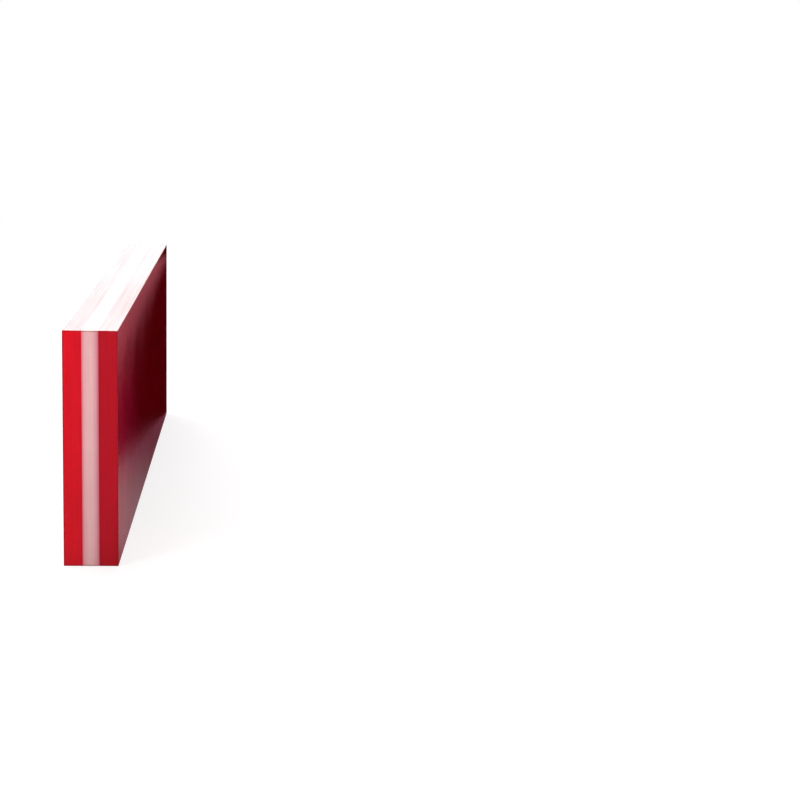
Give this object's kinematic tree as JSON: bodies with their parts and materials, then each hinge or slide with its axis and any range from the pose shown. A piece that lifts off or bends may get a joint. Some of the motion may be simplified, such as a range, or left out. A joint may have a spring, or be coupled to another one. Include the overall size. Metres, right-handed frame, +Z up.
{
  "type": "squeegee blade",
  "caption": "Straight length of laminated squeegee blade stock: a flat square-cornered bar with a stiffer pale core bonded between soft red outer layers.",
  "frame": {"origin": "centre of the long edge that the blade stands on", "axes": "+X through the thickness from the left outer layer to the right one, +Y along the length towards the end farther from the camera, +Z up the height"},
  "size_m": [0.0094, 0.1524, 0.0413],
  "materials": {
    "red_outer": "soft translucent red cast polyurethane, satin on the moulded faces and matt with fine knife marks on the cut ones",
    "pale_core": "stiffer milky off-white cast polyurethane, satin, tinted pink by the red beside it"
  },
  "bodies": {
    "root": {"left_outer_layer": "red_outer", "core_layer": "pale_core", "right_outer_layer": "red_outer"}
  },
  "joints": []
}
